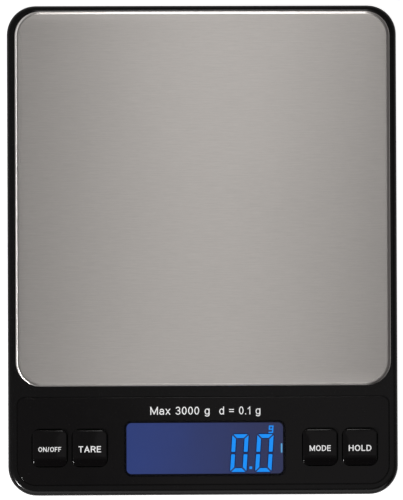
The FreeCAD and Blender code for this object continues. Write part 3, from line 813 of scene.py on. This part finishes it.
def digit_nought(name, centre, shape, grow=0.0):
    """The six segments of a nought, leaning to the right, as one piece.

    Grown, the same segments make the dark edging behind the lit ones.
    """
    width, height, stroke = shape.digit_width, shape.digit_height, shape.digit_stroke
    gap, waist = shape.digit_gap, shape.digit_waist
    bars = []
    for end in (-1, 1):
        spot = centre + Vector((0, end * (height - stroke) / 2, 0))
        bars.append(segment(name, spot, width - 2 * gap + 2 * grow, stroke + 2 * grow,
                            False, -end))
        for side in (-1, 1):
            length = (height - waist) / 2 - gap
            spot = centre + Vector((side * (width - stroke) / 2,
                                    end * (height / 2 - gap - length / 2), 0))
            bars.append(segment(name, spot, length + 2 * grow, stroke + 2 * grow, True,
                                -side, (end,)))
    return leaning(joined(bars, name), centre, shape.digit_slant)


def joined(bars, name):
    make_active(bars[0])
    for bar in bars:
        bar.select_set(True)
    bpy.ops.object.join()
    piece = bpy.context.object
    piece.name = name
    return piece


def leaning(piece, centre, slant):
    """Shear a readout piece to the right about its middle."""
    lean = Matrix.Identity(4)
    lean[0][1] = math.tan(slant)
    lean[0][3] = -math.tan(slant) * centre.y
    piece.data.transform(lean)
    return piece


def unit_sign(name, centre, shape):
    """Small sign for grams, built of plain bars as the digits are."""
    stroke, width, half = UNIT_STROKE, UNIT_WIDTH, UNIT_STEP / 2
    bars = []
    for level in (2 * half, 0, -2 * half):
        bars.append(segment(name, centre + Vector((0, level, 0)), width, stroke, False, 1, ()))
    for side, level in ((-1, half), (1, half), (1, -half)):
        spot = centre + Vector((side * (width - stroke) / 2, level, 0))
        bars.append(segment(name, spot, 2 * half, stroke, True, 1, ()))
    return leaning(joined(bars, name), centre, shape.digit_slant)


class SCALE_OT_readout(bpy.types.Operator):
    """Model the lit readout: two noughts with a point between them, and the unit"""

    bl_idname = "scale.readout"
    bl_label = "Readout"

    def execute(self, context):
        shape = context.scene.scale_shape
        colours = context.scene.scale_colours
        glow = lit_segment("readout_glow", tuple(colours.glow), 2.0)
        pale = lit_segment("readout_pale", (0.10, 0.34, 0.62), 2.2)
        edging = lit_segment("readout_edging", (0.004, 0.022, 0.16), 0.8)
        level = glass_high.z + READOUT_LIFT
        right = Vector((window_high.x - DIGIT_FROM_RIGHT,
                        window_low.y + DIGIT_FROM_FRONT, level))
        left = right - Vector((shape.digit_pitch, 0, 0))
        deeper = Vector((0, 0, EDGING_DEPTH))
        for name, spot in (("units", left), ("tenths", right)):
            complete(digit_nought("digit_" + name, spot, shape), "base", glow)
            edge = digit_nought("edging_" + name, spot - deeper, shape, EDGING)
            complete(edge, "base", edging)
        place = left + Vector(POINT_PLACE)
        half = Vector(POINT_HALF)
        point = start_block("decimal_point", place - half, place + half)
        round_edges(point, upright, POINT_CORNER, 3)
        complete(point, "base", glow)
        unit = unit_sign("unit_sign", right + Vector(UNIT_PLACE), shape)
        complete(unit, "base", glow)
        place = right + Vector(MARK_PLACE)
        half = Vector(MARK_HALF)
        mark = start_block("stable_mark", place - half, place + half)
        round_edges(mark, upright, MARK_CORNER, 2)
        complete(mark, "base", pale)
        return {"FINISHED"}


def bow(x, y, wide, high, start, end, steps=10):
    """Points along a stretch of an ellipse, by its middle, half-axes and two angles."""
    angles = [math.radians(start + (end - start) * number / steps)
              for number in range(steps + 1)]
    return [(x + wide * math.cos(angle), y + high * math.sin(angle)) for angle in angles]


def ring(low, high):
    loop = bow(0.5, (low + high) / 2, 0.5, (high - low) / 2, 90, 450, 24)
    return loop[:-1] + loop[:1]


# Plain letters as strokes: a width in cap heights, then lines in a unit square.
SMALL = 0.72
LETTERS = {
    " ": (0.30, []),
    ".": (0.17, [[(0.5, 0), (0.5, 0.02)]]),
    "/": (0.36, [[(0, 0), (1, 1)]]),
    "=": (0.58, [[(0, 0.34), (1, 0.34)], [(0, 0.64), (1, 0.64)]]),
    "0": (0.56, [ring(0, 1)]),
    "1": (0.36, [[(0.9, 0), (0.9, 1), (0, 0.72)]]),
    "3": (0.56, [bow(0.48, 0.75, 0.46, 0.25, 155, -90), bow(0.48, 0.25, 0.52, 0.25, 90, -155)]),
    "A": (0.76, [[(0, 0), (0.5, 1)], [(0.5, 1), (1, 0)], [(0.2, 0.3), (0.8, 0.3)]]),
    "D": (0.72, [[(0, 0), (0, 1)], [(0, 1), *bow(0.4, 0.5, 0.6, 0.5, 90, -90), (0, 0)]]),
    "E": (0.60, [[(1, 1), (0, 1), (0, 0), (1, 0)], [(0, 0.52), (0.9, 0.52)]]),
    "F": (0.56, [[(1, 1), (0, 1), (0, 0)], [(0, 0.52), (0.85, 0.52)]]),
    "H": (0.70, [[(0, 0), (0, 1)], [(1, 0), (1, 1)], [(0, 0.52), (1, 0.52)]]),
    "L": (0.56, [[(0, 1), (0, 0), (1, 0)]]),
    "M": (0.88, [[(0, 0), (0, 1)], [(0, 1), (0.5, 0.05)], [(0.5, 0.05), (1, 1)],
                 [(1, 1), (1, 0)]]),
    "N": (0.72, [[(0, 0), (0, 1)], [(0, 1), (1, 0)], [(1, 0), (1, 1)]]),
    "O": (0.80, [ring(0, 1)]),
    "R": (0.70, [[(0, 0), (0, 1), *bow(0.6, 0.75, 0.4, 0.25, 90, -90), (0, 0.5)],
                 [(0.55, 0.5), (1, 0)]]),
    "T": (0.66, [[(0, 1), (1, 1)], [(0.5, 1), (0.5, 0)]]),
    "a": (0.56, [[*bow(0.5, 0.47, 0.46, 0.25, 155, 0), (0.96, 0)],
                 [(0.96, 0.42), *bow(0.42, 0.21, 0.42, 0.21, 90, 270), (0.96, 0.08)]]),
    "d": (0.58, [ring(0, SMALL), [(1, 0), (1, 1)]]),
    "g": (0.58, [ring(0, SMALL), [(1, SMALL), *bow(0.5, -0.08, 0.5, 0.2, 0, -150)]]),
    "x": (0.54, [[(0, 0), (1, SMALL)], [(0, SMALL), (1, 0)]]),
}
LETTER_GAP = 0.16


def ribbon(line, half, thickness):
    """Corners and faces of a flat bar of even width that follows a line of points."""
    closed = line[0] == line[-1]
    path = [Vector(point) for point in (line[:-1] if closed else line)]
    if not closed:
        path[0] += (path[0] - path[1]).normalized() * half
        path[-1] += (path[-1] - path[-2]).normalized() * half
    count = len(path)
    corners = []
    for number, spot in enumerate(path):
        before = path[number - 1] if closed or number else 2 * spot - path[1]
        after = path[(number + 1) % count] if closed or number < count - 1 else 2 * spot - before
        come = (spot - before).normalized()
        turn = (come + (after - spot).normalized()).normalized()
        across = Vector((-turn.y, turn.x))
        reach = across * half / max(0.5, across.dot(Vector((-come.y, come.x))))
        for level in (0.0, thickness):
            corners += [(*(spot + reach), level), (*(spot - reach), level)]
    faces = []
    for number in range(count if closed else count - 1):
        here = 4 * number
        on = 4 * ((number + 1) % count)
        faces += [(here + 2, here + 3, on + 3, on + 2), (here, on, on + 1, here + 1),
                  (here, here + 2, on + 2, on), (here + 1, on + 1, on + 3, here + 3)]
    if not closed:
        last = 4 * (count - 1)
        faces += [(0, 1, 3, 2), (last, last + 2, last + 3, last + 1)]
    return corners, faces


def strokes_of(words, weight):
    """Every stroke of some words, in cap heights."""
    edge = weight / 2
    start = 0.0
    strokes = []
    for letter in words:
        width, lines = LETTERS[letter]
        for line in lines:
            spots = [(start + edge + x * (width - weight), edge + y * (1 - weight))
                     for x, y in line]
            strokes.append(ribbon(spots, edge, 1.0))
        start += width + LETTER_GAP
    return strokes, start - LETTER_GAP


def stroke_piece(name, strokes):
    corners = []
    faces = []
    for spots, sides in strokes:
        faces += [[len(corners) + corner for corner in side] for side in sides]
        corners += spots
    mesh = bpy.data.meshes.new(name)
    mesh.from_pydata(corners, [], faces)
    piece = bpy.data.objects.new(name, mesh)
    bpy.context.scene.collection.objects.link(piece)
    return piece


def lettering(name, words, centre, width, height, weight):
    """Thin raised lettering: a row of plain letters merged into one piece.

    Its width and the height of its capitals are given, and it is centred on a point.
    """
    strokes, length = strokes_of(words, weight)
    word = stroke_piece(name, strokes[:-1])
    last = stroke_piece(name + "_end", strokes[-1:])
    size = Matrix.Diagonal((width / length, height, 1.5 * FOIL, 1.0))
    seat = Matrix.Translation(centre - Vector((width / 2, height / 2, 0)))
    for piece in (word, last):
        piece.data.transform(seat @ size)
    apply_modifier(word, "BOOLEAN", operation="UNION", solver="EXACT", use_self=True,
                   object=last)
    bpy.data.objects.remove(last)
    return word


# The words printed on the keys and above the display, with their sizes in millimetres.
LEGENDS = (
    ("power", "ON/OFF", 7.4, 1.55),
    ("tare", "TARE", 7.3, 2.0),
    ("mode", "MODE", 6.9, 1.85),
    ("hold", "HOLD", 7.4, 1.95),
)
LEGEND_WEIGHT = 0.15
LEGEND_DROP = 0.38 * MM
RANGES = (
    ("range_maximum", "Max 3000 g", -7.6, 19.3),
    ("range_step", "d = 0.1 g", 11.9, 13.4),
)
RANGE_HEIGHT = 2.6 * MM
RANGE_WEIGHT = 0.115
RANGE_FROM_BACK = 4.4 * MM


class SCALE_OT_legends(bpy.types.Operator):
    """Print the keys' functions and the weighing range in plain lettering"""

    bl_idname = "scale.legends"
    bl_label = "Legends"

    def execute(self, context):
        # The legends glow faintly as painted light, besides their printed colour.
        glowing_ink = printed_ink_painted_glow("legend_ink_painted_glow", tuple(context.scene.scale_colours.legend))
        for name, words, width, height in LEGENDS:
            low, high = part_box("key_" + name)
            spot = Vector(((low.x + high.x) / 2, (low.y + high.y) / 2 - LEGEND_DROP,
                           high.z))
            legend = lettering("legend_" + name, words, spot, width * MM, height * MM,
                               LEGEND_WEIGHT)
            complete(legend, name + "_key", glowing_ink)
        row = panel_high.y - RANGE_FROM_BACK
        for name, words, place, width in RANGES:
            spot = Vector((place * MM, row, panel_high.z))
            legend = lettering(name, words, spot, width * MM, RANGE_HEIGHT, RANGE_WEIGHT)
            complete(legend, "base", glowing_ink)
        return {"FINISHED"}


class SCALE_OT_feet(bpy.types.Operator):
    """Model one rubber foot with a rolled edge and a shallow well, and copy it"""

    bl_idname = "scale.feet"
    bl_label = "Rubber feet"

    def execute(self, context):
        low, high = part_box(FEET[0])
        clear_selection()
        bpy.ops.mesh.primitive_cylinder_add(vertices=FOOT_SIDES, radius=(high.x - low.x) / 2,
                                            depth=high.z - low.z, location=(low + high) / 2)
        first = bpy.context.object
        first.name = "rubber_" + FEET[0]
        settle(first)
        round_edges(first, flat_at(low.z), FOOT_EDGE, 4)
        pick(first, "FACE", flat_at(low.z))
        bpy.ops.mesh.inset(thickness=FOOT_MARGIN)
        bpy.ops.mesh.inset(thickness=FOOT_INNER_RING)
        done()
        middle = (low + high) / 2
        pick(first, "FACE", lambda ends: flat_at(low.z)(ends)
             and max((co.xy - middle.xy).length for co in ends) < WELL_REACH)
        bpy.ops.mesh.extrude_region_move(TRANSFORM_OT_translate={"value": (0, 0, WELL_DEPTH)})
        done()
        for name in FEET[1:]:
            copy = copy_of(first, "rubber_" + name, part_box(name)[0] - low)
            complete(copy, "base", finish_named("foot_rubber"))
            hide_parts(name)
        complete(first, "base", finish_named("foot_rubber"))
        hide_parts(FEET[0])
        return {"FINISHED"}


# ---- stage -----------------------------------------------------------------------------------

def soft_box(name, place, aim, size, power, colour, only=None):
    """Area light that faces a point, and may be kept to one piece alone."""
    data = bpy.data.lights.new(name, "AREA")
    data.shape = "RECTANGLE"
    data.size, data.size_y = size
    data.energy = power
    data.color = colour
    light = bpy.data.objects.new(name, data)
    light.location = place
    light.rotation_mode = "QUATERNION"
    light.rotation_quaternion = (Vector(aim) - Vector(place)).to_track_quat("-Z", "Y")
    light.visible_camera = False
    if only:
        lit = bpy.data.collections.new(name + "_lights")
        lit.objects.link(only)
        light.light_linking.receiver_collection = lit
    bpy.context.scene.collection.objects.link(light)


def studio_air(sky, ground):
    """Even dim light all round: dark above the front, brighter from below as off a floor."""
    world = bpy.data.worlds.new("studio")
    air = Finish("studio", world, "Generated")
    above = air.ramp(air.part("Y"), -0.50, -0.22, sky * 0.1, sky)
    light = air.node("ShaderNodeBackground", {}, {
        "Color": (1.0, 0.97, 0.97, 1.0),
        "Strength": air.ramp(air.part("Z"), -0.15, 0.1, ground, above)})
    air.node("ShaderNodeOutputWorld", {}, {"Surface": light})
    return world


class SCALE_OT_stage(bpy.types.Operator):
    """Set up the pale floor, the soft boxes and the camera"""

    bl_idname = "scale.stage"
    bl_label = "Stage"

    def execute(self, context):
        stage = context.scene.scale_stage
        context.scene.view_settings.view_transform = "Standard"
        clear_selection()
        bpy.ops.mesh.primitive_plane_add(size=FLOOR_SIZE, location=(0, 0, 0))
        floor = context.object
        floor.name = "floor"
        paper = Finish("floor_paper")
        floor.data.materials.append(paper.surface({
            "Base Color": paper.blend(paper.noise(3.0), (0.90, 0.90, 0.90), (0.94, 0.94, 0.94)),
            "Roughness": 0.9,
            "Emission Color": (1.0, 1.0, 1.0, 1.0),
            "Emission Strength": 0.93,
        }))
        # The floor's glow lights the scene, but is neither mirrored nor sampled as a lamp.
        floor.visible_glossy = False
        floor.data.materials[0].cycles.emission_sampling = "NONE"
        tray = bpy.data.objects["weighing_tray"]
        soft_box("box_back", BACK_PLACE, ORIGIN, BACK_SIZE, stage.key_light * BACK_SHARE, WARM)
        soft_box("box_back_tray", BACK_PLACE, ORIGIN, BACK_SIZE,
                 stage.key_light * TRAY_SHARE, WARM, tray)
        soft_box("box_top", TOP_PLACE, TOP_AIM, TOP_SIZE, stage.top_light, ROSY)
        soft_box("box_corner", CORNER_PLACE, ORIGIN, CORNER_SIZE, stage.corner_light, WHITE)
        for turn, share in EDGE_TURNS:
            angle = math.radians(turn)
            place = (EDGE_RADIUS * math.cos(angle), EDGE_RADIUS * math.sin(angle), EDGE_HEIGHT)
            soft_box("box_edge_" + str(turn), place, ORIGIN, EDGE_SIZE,
                     stage.edge_light * share, WHITE, tray)
        soft_box("box_front_case", CASE_FRONT_PLACE, ORIGIN, CASE_FRONT_SIZE,
                 stage.rim_light, WHITE, cad["top_shell"])
        soft_box("box_edge_front", EDGE_FRONT_PLACE, ORIGIN, EDGE_FRONT_SIZE,
                 stage.edge_light * EDGE_FRONT_SHARE, WHITE, tray)
        context.scene.world = studio_air(stage.sky, stage.ground)
        data = bpy.data.cameras.new("camera")
        data.lens = stage.lens
        data.sensor_width = SENSOR_WIDTH
        data.clip_start = NEAREST_SEEN
        camera = bpy.data.objects.new("camera", data)
        place = Vector(stage.camera_place)
        behind = (place - Vector(stage.camera_aim)).normalized()
        right = Vector((0, 1, 0)).cross(behind).normalized()
        turned = Matrix((right, behind.cross(right), behind)).transposed().to_4x4()
        roll = Matrix.Rotation(stage.camera_roll, 4, "Z")
        camera.matrix_world = Matrix.Translation(place) @ turned @ roll
        context.scene.collection.objects.link(camera)
        context.scene.camera = camera
        return {"FINISHED"}


class SCALE_PT_panel(bpy.types.Panel):
    """The steps of the model and the values that they use"""

    bl_label = "Gram scale"
    bl_space_type = "VIEW_3D"
    bl_region_type = "UI"
    bl_category = "Gram scale"

    def draw(self, context):
        for step in STEPS:
            self.layout.operator(step.bl_idname)
        for group in (context.scene.scale_shape, context.scene.scale_colours,
                      context.scene.scale_stage):
            box = self.layout.box()
            for name in group.__annotations__:
                box.prop(group, name)


GROUPS = (
    ("scale_shape", ScaleShape),
    ("scale_colours", ScaleColours),
    ("scale_stage", ScaleStage),
)
STEPS = (
    SCALE_OT_finishes,
    SCALE_OT_tray,
    SCALE_OT_keys,
    SCALE_OT_readout,
    SCALE_OT_legends,
    SCALE_OT_feet,
    SCALE_OT_stage,
)


def register():
    for name, group in GROUPS:
        bpy.utils.register_class(group)
        setattr(bpy.types.Scene, name, PointerProperty(type=group))
    for step in (*STEPS, SCALE_PT_panel):
        bpy.utils.register_class(step)


def unregister():
    for step in reversed((*STEPS, SCALE_PT_panel)):
        bpy.utils.unregister_class(step)
    for name, group in reversed(GROUPS):
        delattr(bpy.types.Scene, name)
        bpy.utils.unregister_class(group)


def main():
    """Make the whole model, in the order of the panel."""
    register()
    for step in STEPS:
        family, name = step.bl_idname.split(".")
        getattr(getattr(bpy.ops, family), name)()


if __name__ == "__main__":
    main()
